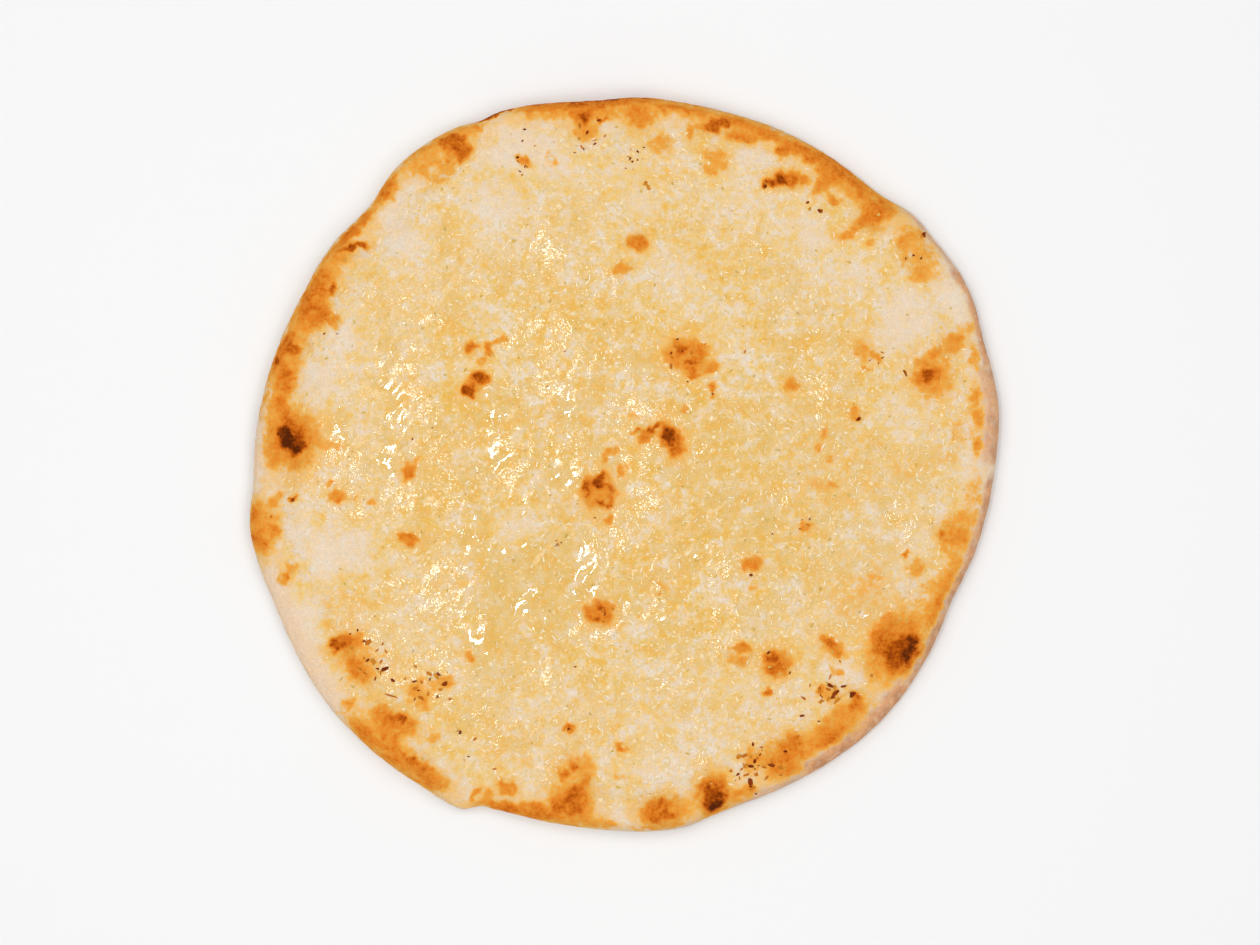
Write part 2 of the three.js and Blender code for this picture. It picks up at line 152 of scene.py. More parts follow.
# Browned patches in the middle: x, y, radius along and across, how dark, and the turn in degrees if there
# is one.
TOP_BROWNING = (
    (-10.9, -11.2, 6.6, 6.8, 0.5), (-9.6, -6.8, 3.2, 2.5, 0.88, -20), (-15.6, -9.6, 1.2, 3.8, 0.76, 10),
    (-5.6, -11.6, 1.1, 3.6, 0.66, -12), (-9.4, -16, 3.8, 1, 0.82, -8), (-6.5, -22.6, 1.6, 2, 0.52),
    (-6, 4.5, 4.5, 1.6, 0.44, 38), (-1.6, -2, 1.8, 2.4, 0.46, 30), (18.4, 9.8, 6.8, 3.8, 0.72, -68),
    (18, 10.6, 4.8, 2.1, 0.95, -66), (10.6, 14.2, 4, 1.1, 0.86, 26), (8.6, 11.2, 3.4, 2.2, 0.66, 40),
    (4.6, 13, 2, 0.7, 0.62), (4.2, 19.4, 2.8, 1.6, 0.26), (23.8, 22, 2.4, 1, 0.42, 50),
    (13.5, -51.7, 1.2, 0.8, 0.6), (16, -48.5, 4, 2, 0.22, -20), (110, -75, 9, 6.4, 0.82, 58),
    (102, -72, 3.4, 6, 0.66, 10), (112.4, -73.6, 5.6, 3.6, 0.96, 68), (104, -64, 5, 3, 0.5, 30),
    (81, -92, 4.5, 3, 0.34), (51, -119, 3.6, 6, 0.36), (-99, -80, 7, 4, 0.14, 30), (-78, -89, 6, 3.4, 0.3),
    (-72, -87, 3, 2, 0.42), (25, 43.4, 8, 6.6, 0.56, -20), (23, 46, 3.4, 1.8, 0.82, 20),
    (26, 41, 3, 1.6, 0.78, -20), (34, 38.6, 4.4, 1.6, 0.5, 40), (27, 36.2, 3.4, 1.4, 0.62, -20),
    (-10, -59.4, 5.2, 4.6, 0.6), (-9.4, -58, 1.8, 1.4, 0.86), (-11.6, -62, 1.6, 1.2, 0.8),
    (60.6, -79.7, 5, 5, 0.64), (59, -77, 3, 1.4, 0.78, 10), (45.6, -73.6, 4.4, 1.7, 0.56),
    (46, -78.4, 3.6, 2.2, 0.4), (51, -39.6, 3.6, 3.2, 0.48), (51, -49, 1.5, 1.2, 0.4),
    (-57.8, 34.4, 2.6, 2.6, 0.86), (-62.2, 29.3, 2.4, 2.4, 0.88), (-60, 32, 4.6, 3.2, 0.55, 45),
    (-62.2, 46.2, 2.3, 2.7, 0.62), (-54.6, 46, 2, 2, 0.62), (-50.6, 48.8, 3.4, 1.2, 0.46, 32),
    (-57.4, 41.4, 1.2, 2.4, 0.38), (5, 88.2, 3.8, 2.8, 0.66), (-1, 77.6, 3.6, 2, 0.5, 15),
    (67, 31.4, 2.8, 2.6, 0.5), (94.6, 45, 3.4, 3.4, 0.42), (100, 42.6, 3, 1.6, 0.5, -40),
    (97, 38.6, 3, 1.2, 0.34), (92, 20, 2.4, 2.2, 0.46), (79.6, 12.6, 1.4, 2.6, 0.44),
    (78, 6, 1.2, 1.6, 0.44), (82, 2, 1.6, 1.1, 0.42), (83, -8, 1.6, 1.1, 0.42),
    (72.6, -25, 2.6, 2.4, 0.54, 30), (-86.7, -3.6, 2.4, 3.2, 0.6), (-84, 1.4, 1.4, 2.4, 0.34, -30),
    (-86.5, -30, 4.2, 2, 0.6, -18), (-115, -13, 2.6, 2.1, 0.6), (-110, -13.6, 3, 1, 0.34),
    (-101.5, -15.8, 1.4, 1.2, 0.38), (-119, -7.6, 1.2, 0.9, 0.42), (-62, -77, 1.9, 1.7, 0.5),
    (-22, -105.4, 1.8, 1.6, 0.7), (35, 31.2, 1.4, 1.1, 0.6), (35, 27.6, 1, 0.9, 0.56),
    (81, -70.6, 3.4, 2.2, 0.6, -30), (85, -74, 2.8, 1.2, 0.5, -40), (84, -83, 3, 1.4, 0.36, -30),
    (57.8, -91.6, 1.8, 1.2, 0.7, 20), (-2, -125, 3, 1.4, 0.3), (-85, 31, 5, 8, 0.14), (-70, 55, 6, 7, 0.13),
    (-68, -45, 12, 6, 0.12, 10), (18, -46, 8, 9, 0.11), (12, -16, 9, 6, 0.11), (-25, 18, 12, 6, 0.11),
    (98, -50, 9, 8, 0.15), (82, -10, 8, 4, 0.12), (112, -2, 4, 6, 0.16), (-46, -112, 10, 12, 0.13),
    (-6, -104, 4, 7, 0.12, 20), (15, 119, 9, 5, 0.13), (-45, -10, 5, 10, 0.1), (95, 52, 4, 9, 0.14, -15),
    (88, 92, 6, 3, 0.2, 20), (99, 100.6, 5, 6.5, 0.54), (113, 89, 4, 4, 0.34), (118.5, 77.5, 3.2, 3.6, 0.38),
    (111, 82, 1.6, 4, 0.3), (136.3, 54.2, 3.4, 2, 0.2), (81, -108, 9, 4.4, 0.5, 25),
    (64, -116.6, 7, 4.4, 0.52, 40), (79, -8, 6, 2.6, 0.22), (93, -55, 14, 12, 0.16),
    (118, -58, 4, 6, 0.26, -20), (84, -4, 20, 16, 0.12), (-95, -81, 5, 3, 0.2, -40),
    (-112, -58, 9, 13, 0.14),
)
# Floury stretches of the rim: from and to an angle, how deep, how strong. The dough's finish draws them
# pale on the left and darker brown on the right, where the dark is painted shade.
FLOURED = (
    (0, 15, 7.5, 0.85), (15, 31, 3.4, 0.95), (31, 42, 2, 0.6), (58, 86, 2.4, 0.6), (105, 114, 3, 0.2),
    (118, 128, 2, 0.4), (130, 172, 1.4, 0.6), (146, 158, 1.5, 0.6), (166, 182, 5, 0.7), (197, 222, 9, 0.75),
    (222, 243, 1.2, 0.25), (271, 282, 2.5, 0.5), (288, 300, 4, 0.6), (300, 322, 7, 1), (322, 336, 4, 0.95),
    (336, 358, 4.4, 0.95),
)
# Where the dough stayed dry and pale: x, y, radius along and across, how dry, and the turn if there is one.
DRY = (
    (-40, 125, 22, 14, 0.9), (5, 106, 14, 8, 0.7, -20), (48, 124, 12, 8, 0.7, -20),
    (112, 57, 14, 18, 1, -30), (130, 68, 9, 14, 0.9, 20), (90, 76, 14, 10, 0.7, -20),
    (72, 94, 16, 10, 0.75, -40), (-92, 94, 12, 16, 0.8, 30), (-124, 32, 9, 14, 1), (-112, 52, 14, 10, 0.6),
    (-105, 20, 10, 10, 0.4), (-116, -36, 20, 13, 0.9), (45, 106, 20, 11, 0.45, -20), (0, 116, 20, 10, 0.5),
    (-52, 106, 18, 14, 0.68), (-85, -99, 12, 9, 0.35, -40), (34, -112, 20, 9, 0.15, 20),
    (-60, 122, 10, 8, 0.6, 30), (-130, -26, 9, 12, 0.8), (-126, -62, 8, 16, 0.8, -25),
    (-70, -117, 10, 6, 0.5), (5, -122, 14, 8, 0.6), (10, -103, 12, 6, 0.5), (88, -84, 12, 8, 0.7, 30),
    (45, -90, 12, 7, 0.5), (30, -52, 8, 6, 0.3), (-44, -24, 13, 9, 0.6), (-36, -98, 8, 5, 0.3),
    (78, -95, 10, 7, 0.6, 30), (70, -103, 9, 6, 0.5), (24, 74, 26, 20, 0.46), (112, 22, 14, 14, 0.52),
    (-62, 38, 16, 14, 0.4), (40, 50, 20, 18, 0.36), (4, 88, 20, 16, 0.42), (-52, 58, 14, 12, 0.32),
    (72, -74, 10, 8, 0.3), (0, -80, 20, 12, 0.3),
)
OIL_EDGE_IN = 10  # how far in from the outline the oil begins

# ---- What lies on the top ----
# Drifts of charred herb flecks, with the part's own values: x, y, spread, how many, length of the longest.
FLECK_DRIFTS = (
    (82, -91, 5.5, 7, 3.6), (50, -121, 9, 10, 3), (-101, -77, 9, 9, 2.8), (-80, -88, 8, 8, 3),
    (-16, 131, 6, 4, 2.6), (3, 123, 5, 4, 1.8), (-41, 119, 4, 3, 1.8), (21, 43, 7, 5, 2.4),
    (-8, -60, 4, 3, 2.6), (101, 42, 5, 3, 2.4), (112.3, 36.5, 0, 1, 3.2), (76, 102.5, 4, 2, 2.4),
    (55.5, 111.5, 1.5, 2, 2.4), (118, 90.5, 0, 1, 3.2), (-27, -31, 1.5, 2, 1.8), (-66, -107, 1, 1, 1.9),
    (60, -119, 4, 2, 2.8), (94, 18, 0, 1, 2), (72, -24, 3, 2, 1.9), (8.5, 111.5, 2, 2, 2.4),
)
FLECK_WIDTH = 0.45
FLECK_THICKNESS = 1.1
# Herbs seen one by one: x, y, length and heading in degrees. The first list is nearly black, the second is
# toasted.
CHARRED_HERBS = (
    (82, -88.5, 4, -25), (83.8, -92.2, 2.8, 60), (83, -93.4, 2.4, 10), (85.2, -91, 1.6, 70),
    (87.3, -89, 2.8, 10), (91, -92.3, 4.2, -20), (78.5, -92.8, 1.5, -50), (71, -100.8, 2.3, 0),
    (77.5, -102.7, 1.3, 0), (66, -83.5, 1.3, 60), (51.2, -112, 2.2, 90), (54, -116, 1.4, 60),
    (51.8, -118.8, 2.4, 75), (50.6, -120.6, 2.2, -10), (53.2, -120.3, 1.5, 0), (58.5, -120.1, 3, -15),
    (64, -114.5, 1.6, 10), (45, -123.8, 1.8, 30), (50, -127, 4, -80), (50.2, -128.6, 1.2, 0),
    (52.3, -131.6, 1.2, 0), (57.3, -75.4, 1.3, 40), (50.4, -44.3, 1.2, 0), (59, -28, 1.1, 30),
    (74, -22, 1.6, 50), (-72, -88, 2.6, 30), (-74.5, -84, 1.8, -40), (-78, -86, 1.6, 70),
    (-84, -87, 1.8, 10), (-82.5, -90.5, 1.4, 0), (-84, -94, 1.5, 60), (-75, -93, 1.3, -30),
    (-96, -82, 3.2, 35), (-93, -86.5, 2, -20), (-100, -86, 1.7, 70), (-99, -82, 1.5, 0),
    (-103, -78.5, 1.8, 40), (-104.5, -71, 1.6, 0), (-107, -66.5, 1.4, 80), (-110, -68, 1.3, 30),
    (-66, -107.5, 1.7, 60), (-62.5, -117, 1.2, 0), (-22.5, -106, 1.4, 20), (-20, -81, 1, 0),
    (-27.5, -32.5, 1.2, 40), (-25.5, -31.5, 1, -30), (-133, -14.5, 1.3, 0), (-115, 52, 1, 0),
    (-120, 52, 1.1, 40), (-77, 14.5, 1, 20), (-85, 10, 1.1, 60), (-40, 133.5, 1.4, 0), (-41, 129, 1, 50),
    (-43, 122.5, 1.4, 30), (-40, 119, 1.5, 60), (-42, 117, 1.2, -30), (-15, 132.5, 1.8, 70),
    (-10.5, 137, 1.6, 20), (-16.5, 126, 1.3, 80), (-12, 128, 1.4, 30), (-20, 124.5, 1.2, 0),
    (2, 122, 1.4, 60), (3, 121, 1.2, 0), (5, 125, 1.6, -40), (7.5, 126.5, 1.2, 20), (56, 111, 2, 20),
    (73, 104.5, 1.6, 30), (78, 101, 2.2, -20), (119, 91, 3, 60), (115, 83, 1.3, 0), (118, 82, 1.6, 50),
    (112, 82, 1.2, 80), (103, 42.5, 1.5, 30), (112, 36.5, 3, -60), (25, 33, 1.1, 0), (18.5, 44.5, 1.3, 60),
    (21, 50, 1.2, 20), (35, 28, 1.2, 0), (93.5, 18, 2, 30), (23, 45, 1.6, 50), (-8, -60, 1.4, 80),
)
TOASTED_HERBS = (
    (78, -89.8, 2, 80), (79.3, -94.8, 1.3, 20), (71.5, -93.8, 2.8, -35), (98.5, -84.5, 2.2, -70),
    (81.5, -94, 1.4, 5), (74, -88.5, 1.5, 70), (86, -79, 1.2, -45), (54.7, -113.2, 1.8, 0),
    (52.8, -117.4, 1.5, 30), (51.8, -121.6, 1.3, -50), (48.2, -120, 1.7, 20), (46.5, -121.8, 1.2, 40),
    (48.4, -124, 2.2, 20), (47.8, -116.6, 2.6, 25), (44, -126, 1.5, 60), (-70, -94, 1.6, 20),
    (-88, -86, 1.7, 50), (-106, -82, 2, -30), (-97, -72, 1.6, 60), (-60, -110, 1.5, 30), (-24, 45, 1, 0),
    (-31, 31, 1, 40), (-12, -21.5, 1.2, 10), (70, -26, 1.4, -30), (-141, -21, 1.2, 60), (-36, 127, 1.2, 30),
    (-8, 131, 1.5, 60), (48, 45, 1.6, 65), (8, 112, 2.2, 20), (9.5, 110.5, 1.6, -50), (62, -124, 1.4, 20),
    (69, -109, 1.6, 60), (-52, -122, 1.4, 0), (32, 48, 1.3, 60), (-94, -92.6, 11, -16),
)
STEM_LENGTH = 5  # what is longer is a narrow stem
HERB_LIFT = 0.13  # how high a fleck's middle lies over what is under it
OWN_TONE = 0.75
TOASTED_TONE = 0.7
# Herb that stayed green: a fleck or none to each square of a grid.
GREEN_TONE = 1.4
GREEN_SPACING = 11
GREEN_SHARE = 0.6
GREEN_LENGTH = (0.7, 1.9)
# Where the oil has pooled and ripples more: x, y, radius along and across, how strongly, and the turn if
# any.
OIL_POOLS = (
    (-102, 20, 14, 14, 1), (-49, -26, 17, 12, 1), (-36, -50, 24, 18, 1, 5), (-52, -74, 12, 9, 1),
    (-24, 22, 8, 8, 0.5), (-52, 22, 9, 9, 0.75), (-52, 2, 6, 7, 0.6), (-76, 88, 12, 8, 0.6, -30),
    (-72, 67, 6, 8, 0.6), (-94, 47, 8, 8, 0.42), (0, -50, 10, 9, 0.5), (38, -16, 7, 6, 0.9),
    (25, -35, 7, 6, 0.8), (18, -69, 7, 6, 0.85), (97, -59, 7, 6, 0.8), (100, 62, 6, 6, 0.7),
    (-46, 97, 12, 7, 0.6), (-107, -34, 7, 6, 0.8), (52, -22, 7, 7, 0.7), (-38, -122, 7, 4, 0.4),
    (52, 100, 8, 6, 0.7), (-25, -5, 7, 6, 0.6), (-22, -30, 9, 7, 0.75), (-98, 0, 7, 6, 0.7),
    (-20, 92, 9, 6, 0.6),
)
OIL_RISE = 0.2  # how high the oil stands over the dough's smooth form
POOL_RISE = 0.14  # and how much higher in a pool
GARLIC_SPACING = 2.5
GARLIC_SIZE = (1.2, 3.0)
GARLIC_SUNK = 0.13
# Shreds are drawn paler than the rest of the garlic, and that pale colour is partly painted highlight for
# the oil's curled glints.
SHRED_SHARE = 0.34
SHRED_WIDTH = 0.22  # as a share of its length

# ---- Counts of points ----
TOP_RINGS = 150
FILM_RINGS = 178
FILM_EDGE_IN = 9
FILM_FLOOR = 4  # the film's hidden underside, inside the dough
FILM_BASE_RINGS = ((450, 1), (180, 0.75), (60, 0.4), (1, 0))
EDGE_TURNS = tuple(range(84, -31, -7)) + (-40, -52, -68, -90)
BASE_RINGS = ((600, 0.94), (450, 0.88), (300, 0.82), (300, 0.74), (240, 0.66), (180, 0.58), (150, 0.5),
              (120, 0.42), (96, 0.34), (72, 0.26), (48, 0.18), (24, 0.1), (6, 0.04))

# ---- Camera and light, in metres ----
PHOTO_SIZE = (1260, 945)
PHOTO_STEP = 0.4  # millimetres a pixel, at the bread
MIDDLE_IN_PHOTO = (625, 464)  # the pixel over the outline's own origin
LENS = 85
SENSOR = 36
FLOOR_REACH = 4
FLOOR_DROP = 0.0003
ROOM_STRENGTH = 0.45
# Name, place, size and watts.
LAMPS = (
    ("back left light", (-0.68, 0.68, 1.55), 1.0, 4.8),
    ("back right light", (0.68, 0.68, 1.55), 1.0, 5.2),
    ("front left light", (-0.68, -0.68, 1.55), 1.0, 4.85),
    ("front right light", (0.68, -0.68, 1.55), 1.0, 5.3),
    ("glint light", (-0.22, 0.02, 1.1), 0.12, 1.5),
)


# ======== Smooth random fields ========

def ease(t):
    """6 t^5 - 15 t^4 + 10 t^3: from 0 to 1 with no slope or bend at either end."""
    return t * t * t * (t * (t * 6 - 15) + 10)


def between(value, low, high):
    """How far a value has come from low to high, eased, and held at 0 and 1 outside."""
    return ease(np.clip((value - low) / (high - low), 0, 1))


def cell_random(i, j, seed):
    """A fixed number from 0 to 1 for each square of a grid: its two numbers and the seed, mixed bit by
    bit."""
    n = (i.astype(np.int64) * 73856093) ^ (j.astype(np.int64) * 19349663) ^ (seed * 83492791)
    n = (n & 0xFFFFFFFF).astype(np.uint32)
    n = (n ^ (n >> np.uint32(15))) * np.uint32(2246822519)
    n = (n ^ (n >> np.uint32(13))) * np.uint32(3266489917)
    return (n ^ (n >> np.uint32(16))) / 4294967295.0


def ripple(x, y, size, seed):
    """Random relief from about -1 to 1: each corner of a square grid has a slope in a random direction, and
    the heights that the four slopes give at a point are eased from corner to corner."""
    u, v = x / size, y / size
    i, j = np.floor(u), np.floor(v)
    across, up = u - i, v - j

    def corner(di, dj):
        heading = 2 * np.pi * cell_random(i + di, j + dj, seed)
        return np.cos(heading) * (across - di) + np.sin(heading) * (up - dj)

    ease_x, ease_y = ease(across), ease(up)
    low = corner(0, 0) * (1 - ease_x) + corner(1, 0) * ease_x
    high = corner(0, 1) * (1 - ease_x) + corner(1, 1) * ease_x
    return 1.5 * (low * (1 - ease_y) + high * ease_y)


def rough(x, y, size, seed, finer=2):
    """Ripples of one size, plus finer ones, each half as large and as high as the last and turned 37
    degrees."""
    total, height = 0, 1
    c, s = math.cos(math.radians(37)), math.sin(math.radians(37))
    for k in range(finer + 1):
        total = total + height * ripple(x, y, size, seed + k)
        x, y = c * x - s * y, s * x + c * y
        size, height = size / 2, height / 2
    return total


# ======== The bread's form ========

def around(stations, angle):
    """The value at an angle: a cubic from station to station, whose slope at each is that of its
    neighbours' line."""
    degrees, values = np.array(stations, float).T
    turned = (np.degrees(angle) - degrees[0]) % 360 + degrees[0]
    i = np.searchsorted(degrees, turned, side="right") - 1
    degrees = np.concatenate([[degrees[-1] - 360], degrees, [degrees[0] + 360, degrees[1] + 360]])
    values = np.concatenate([[values[-1]], values, values[:2]])
    a0, a1, a2, a3 = (degrees[i + k] for k in range(4))
    v0, v1, v2, v3 = (values[i + k] for k in range(4))
    span = a2 - a1
    t = (turned - a1) / span
    slope_in = (v2 - v0) / (a2 - a0) * span
    slope_out = (v3 - v1) / (a3 - a1) * span
    return ((2 * t**3 - 3 * t**2 + 1) * v1 + (t**3 - 2 * t**2 + t) * slope_in
            + (3 * t**2 - 2 * t**3) * v2 + (t**3 - t**2) * slope_out)


def turned_round(x, y, middle_x, middle_y, along, across, turn=0):
    """A point's place in an ellipse's own axes, as shares of its two radii."""
    c, s = math.cos(math.radians(turn)), math.sin(math.radians(turn))
    u = ((x - middle_x) * c + (y - middle_y) * s) / along
    v = ((y - middle_y) * c - (x - middle_x) * s) / across
    return u, v


def patches(x, y, table):
    """For each patch of a table: a point's place in it, as shares of its two radii, and the patch's
    strength."""
    for middle_x, middle_y, along, across, strength, *turn in table:
        yield *turned_round(x, y, middle_x, middle_y, along, across, *turn), strength


def swell(x, y):
    """The dough's slow waves: a sum of sines, each with its own wavelength and heading."""
    total = np.zeros_like(x)
    for length, heading, height, phase in SWELLS:
        along = x * math.cos(math.radians(heading)) + y * math.sin(math.radians(heading))
        total += height * np.sin(2 * np.pi * along / length + phase)
    return total


def blistered(x, y):
    """What the blisters add: each is lift (1 - q)^2 (1 + 0.8 q), where q is the square of the share of its
    radius."""
    total = np.zeros_like(x)
    for u, v, lift in patches(x, y, BLISTERS):
        q = np.minimum(1, u * u + v * v)
        total += lift * (1 - q) ** 2 * (1 + 0.8 * q)
    return total


def inside_outline(x, y):
    """How far a point lies in from the outline, along its own ray from the middle."""
    return around(OUTLINE, np.arctan2(y, x)) - np.hypot(x, y)


def top_height(x, y):
    """The solid's top: a flat middle with waves, a cosine rise to the crest, blisters, and an elliptic
    shoulder."""
    angle = np.arctan2(y, x)
    crest_in = around(CREST_IN, angle)
    inside = np.maximum(0, inside_outline(x, y))
    rim = (1 + np.cos(np.pi * np.clip((inside - crest_in) / (RIM_RUN - crest_in), 0, 1))) / 2
    crest = around(CREST_HEIGHT, angle)
    top = CRUMB_HEIGHT + (crest - CRUMB_HEIGHT) * rim + swell(x, y) * (1 - 0.6 * rim) + blistered(x, y)
    shoulder = np.sqrt(1 - (1 - np.minimum(1, inside / crest_in)) ** 2)
    return SIDE_HEIGHT + (top - SIDE_HEIGHT) * shoulder


# ======== What lies where on the top ========

def faded(u, v):
    """1 in the middle of a patch, a half a little past its edge and soon nothing: 1 / (1 + (0.88 r)^7),
    with r the share of its radius."""
    return 1 / (1 + (0.775 * (u * u + v * v)) ** 3.5)


def browning(x, y, reach=1):
    """How dark the oven left each point, read at a place shaken by ripples: the fifth root of the sum of
    what each patch, with its radii times a reach, gives there to the fifth power. That is the darkest
    patch's own value with soft joins."""
    shaken_x = x + 1.5 * ripple(x, y, 4.5, 11) + 1.0 * ripple(x, y, 2.1, 12)
    shaken_y = y + 1.5 * ripple(x, y, 4.5, 13) + 1.0 * ripple(x, y, 2.1, 14)
    total = np.zeros_like(x)
    for u, v, dark in patches(shaken_x, shaken_y, TOP_BROWNING):
        total += (dark * faded(u / reach, v / reach)) ** 5
    degrees = np.degrees(np.arctan2(shaken_y, shaken_x)) % 360
    inside = inside_outline(shaken_x, shaken_y)
    for angle, depth, half_angle, half_depth, dark, *slant in RIM_BROWNING:
        off = (degrees - angle + 180) % 360 - 180
        slope = slant[0] if slant else 0
        further = inside - depth - slope * off
        total += (dark * faded(off / half_angle / reach, further / half_depth / reach)) ** 5
    return total ** 0.2


def floured(x, y):
    """The rim's floury stretches, pale flour on the left and painted shade on the right: full at the
    outline, fading in over their depth and at both ends.
    """
    degrees = np.degrees(np.arctan2(y, x)) % 360
    inside = inside_outline(x, y) + 1.2 * ripple(x, y, 7, 21)
    total = np.zeros_like(x)
    for start, end, depth, strength in FLOURED:
        ends = between(degrees, start - 1.5, start + 1.5) * (1 - between(degrees, end - 1.5, end + 1.5))
        total = np.maximum(total, strength * ends * (1 - between(inside, 0.55 * depth, 1.2 * depth)))
    return total


def dryness(x, y):
    """1 where the dough stayed matte and pale: near the rim and in the dry patches, with ragged edges."""
    ragged = 3.5 * rough(x, y, 16, 31)
    near_rim = 1 - between(inside_outline(x, y) + ragged, OIL_EDGE_IN - 5, OIL_EDGE_IN + 8)
    total = near_rim
    for u, v, dry in patches(x + ragged, y - ragged, DRY):
        total = np.maximum(total, dry * np.exp(-1.2 * (u * u + v * v)))
    return total


def pooled(x, y):
    """Where oil has pooled: bells round each pool's middle, the strongest where they meet, with ragged
    edges."""
    ragged = 2.5 * rough(x, y, 9, 36, 1)
    total = np.zeros_like(x)
    for u, v, strong in patches(x + ragged, y - ragged, OIL_POOLS):
        total = np.maximum(total, strong * np.exp(-0.9 * (u * u + v * v)))
    return total


def dough_lumps(x, y):
    """The dough's own small relief: soft lumps, finer on the rim's dry skin and puckered where it
    browned."""
    dry = dryness(x, y)
    brown = browning(x, y)
    lumps = 0.3 * ripple(x, y, 9, 41) + 0.2 * ripple(x, y, 4.6, 42) + 0.12 * ripple(x, y, 2.6, 43)
    return lumps * (1 - 0.35 * dry) + 0.16 * between(brown, 0.3, 0.8) * ripple(x, y, 2.8, 44)


# ======== Meshes ========

def zipped(start, count, next_count):
    """Triangles between a ring of points and the next: the steps along both rings are put in the order in
    which they come round, and each makes a triangle with the point that the other ring has reached."""
    steps = np.concatenate([(np.arange(count) + 1) / count, (np.arange(next_count) + 1) / next_count])
    on_next = np.concatenate([np.zeros(count, bool), np.ones(next_count, bool)])
    if count == 1:
        steps, on_next = steps[1:], on_next[1:]
    if next_count == 1:
        steps, on_next = steps[:-1], on_next[:-1]
    order = np.lexsort((~on_next, steps))
    on_next = on_next[order]
    i = np.cumsum(~on_next) - ~on_next
    j = np.cumsum(on_next) - on_next
    a, b = start + i % count, start + count + j % next_count
    ahead = np.where(on_next, start + count + (j + 1) % next_count, start + (i + 1) % count)
    return np.stack([a, b, ahead], axis=1)


def ring_faces(counts):
    """The triangles of all rings, from the first ring's point to the last's."""
    starts = np.concatenate([[0], np.cumsum(counts)])
    return np.concatenate([zipped(starts[k], counts[k], counts[k + 1]) for k in range(len(counts) - 1)])


def put_in_mesh(name, points, faces, fields=None, smooth=True):
    """A mesh object at the origin from points in millimetres, triangles and one number a point for each
    field."""
    points = (np.asarray(points) - MIDDLE) * MM
    mesh = bpy.data.meshes.new(name)
    mesh.vertices.add(len(points))
    mesh.vertices.foreach_set("co", points.astype(np.float32).ravel())
    mesh.loops.add(3 * len(faces))
    mesh.loops.foreach_set("vertex_index", faces.astype(np.int32).ravel())
    mesh.polygons.add(len(faces))
    mesh.polygons.foreach_set("loop_start", np.arange(0, 3 * len(faces), 3, dtype=np.int32))
    mesh.polygons.foreach_set("use_smooth", np.full(len(faces), smooth))
    mesh.update(calc_edges=True)
    for field, values in (fields or {}).items():
        made = mesh.attributes.new(field, "FLOAT", "POINT")
        made.data.foreach_set("value", np.asarray(values, np.float32))
    mesh.validate()
    piece = bpy.data.objects.new(name, mesh)
    bpy.context.scene.collection.objects.link(piece)
    return piece


def middle_of_outline():
    """The middle of the outline's box, which the part puts over the origin."""
    angle = np.radians(np.arange(0, 360, 360 / OUTLINE_POINTS))
    reach = around(OUTLINE, angle)
    x, y = reach * np.cos(angle), reach * np.sin(angle)
    return np.array([(x.min() + x.max()) / 2, (y.min() + y.max()) / 2, 0])


MIDDLE = middle_of_outline()


def ring_angles(count):
    return 2 * np.pi * np.arange(count) / count


def ring_inside(count, share, edge_in):
    """A ring of points at a share of the outline's own radius less a distance."""
    angle = ring_angles(count)
    r = share * (around(OUTLINE, angle) - edge_in)
    return r * np.cos(angle), r * np.sin(angle)


def dough_piece():
    """The bread: rings of points from the middle of the top out to the crest, each a share of the crest's
    radius, round the edge as a quarter ellipse out and another in, and in over the underside to its
    middle."""
    counts, xs, ys, zs, unders = [], [], [], [], []

    def ring(x, y, z, under):
        counts.append(len(x))
        xs.append(x)
        ys.append(y)
        zs.append(z)
        unders.append(np.full(len(x), float(under)))

    for k in range(TOP_RINGS + 1):
        angle = ring_angles(max(1, 6 * k))
        r = k / TOP_RINGS * (around(OUTLINE, angle) - around(CREST_IN, angle))
        x, y = r * np.cos(angle), r * np.sin(angle)
        ring(x, y, top_height(x, y) + dough_lumps(x, y), 0)
    full = ring_angles(6 * TOP_RINGS)
    reach, crest_in = around(OUTLINE, full), around(CREST_IN, full)
    for turn in EDGE_TURNS:
        c, s = math.cos(math.radians(turn)), math.sin(math.radians(turn))
        r = reach - (crest_in if turn > 0 else TUCK) * (1 - c)
        x, y = r * np.cos(full), r * np.sin(full)
        fine = 0.22 * ripple(x + 40 * s, y - 25 * s, 3.4, 51) + 0.3 * ripple(x + 30 * s, y, 8, 52)
        lumps = dough_lumps(x, y) * max(s, 0) + fine * c
        x, y = x + lumps * c * np.cos(full) * 0.7, y + lumps * c * np.sin(full) * 0.7
        z = SIDE_HEIGHT * (1 + s) + 0 * full
        if turn > 0:
            z = top_height(r * np.cos(full), r * np.sin(full)) + lumps * s
        ring(x, y, z, between(-turn, -10, 60))
    for count, share in BASE_RINGS:
        ring(*ring_inside(count, share, TUCK), np.zeros(count), 1)
    ring(np.zeros(1), np.zeros(1), np.zeros(1), 1)
    x, y, z, under = (np.concatenate(part) for part in (xs, ys, zs, unders))
    dry, flour, inside = dryness(x, y), floured(x, y), inside_outline(x, y)
    fields = {
        "browned": browning(x, y) * (1 - under) * (1 - 0.7 * flour),
        "warmed": browning(x, y, 1.6) * (1 - under) * (1 - flour) * (1 - 0.6 * dry * between(inside, 8, 16)),
        "dry": np.maximum(dry, 0.36 * (1 - between(inside, 25, 110))),
        "floured": flour,
        "underneath": under,
    }
    return put_in_mesh("bread_dough", np.stack([x, y, z], axis=1), ring_faces(counts), fields)


